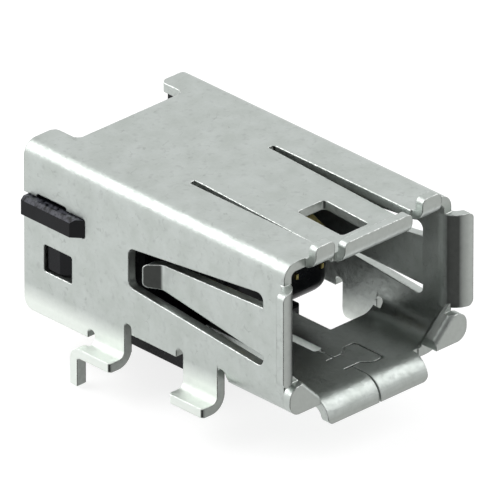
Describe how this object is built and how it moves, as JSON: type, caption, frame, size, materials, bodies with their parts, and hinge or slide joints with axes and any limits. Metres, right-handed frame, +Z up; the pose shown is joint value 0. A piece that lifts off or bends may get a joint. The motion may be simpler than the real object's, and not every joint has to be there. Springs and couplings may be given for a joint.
{
  "type": "industrial mini connector receptacle",
  "caption": "Right-angle shielded receptacle for a circuit board: a folded steel shell with flared lips and spring tongues round a black housing with gold contacts.",
  "frame": {"origin": "on the board's surface, under the housing and midway between the two locating pegs", "axes": "+Y along the shell, away from the mouth; +Z up from the board; +X across, to the right of someone who looks along +Y into the mouth"},
  "size_m": [0.0102, 0.0146, 0.0094],
  "materials": {
    "shell": "satin plating",
    "housing": "moulded, glossy",
    "contacts": "gold plated"
  },
  "bodies": {
    "root": {"shell": "shell", "housing": "housing", "contact_upper_1": "contacts", "contact_upper_2": "contacts", "contact_upper_3": "contacts", "contact_upper_4": "contacts", "contact_lower_1": "contacts", "contact_lower_2": "contacts", "contact_lower_3": "contacts", "contact_lower_4": "contacts"}
  },
  "joints": []
}
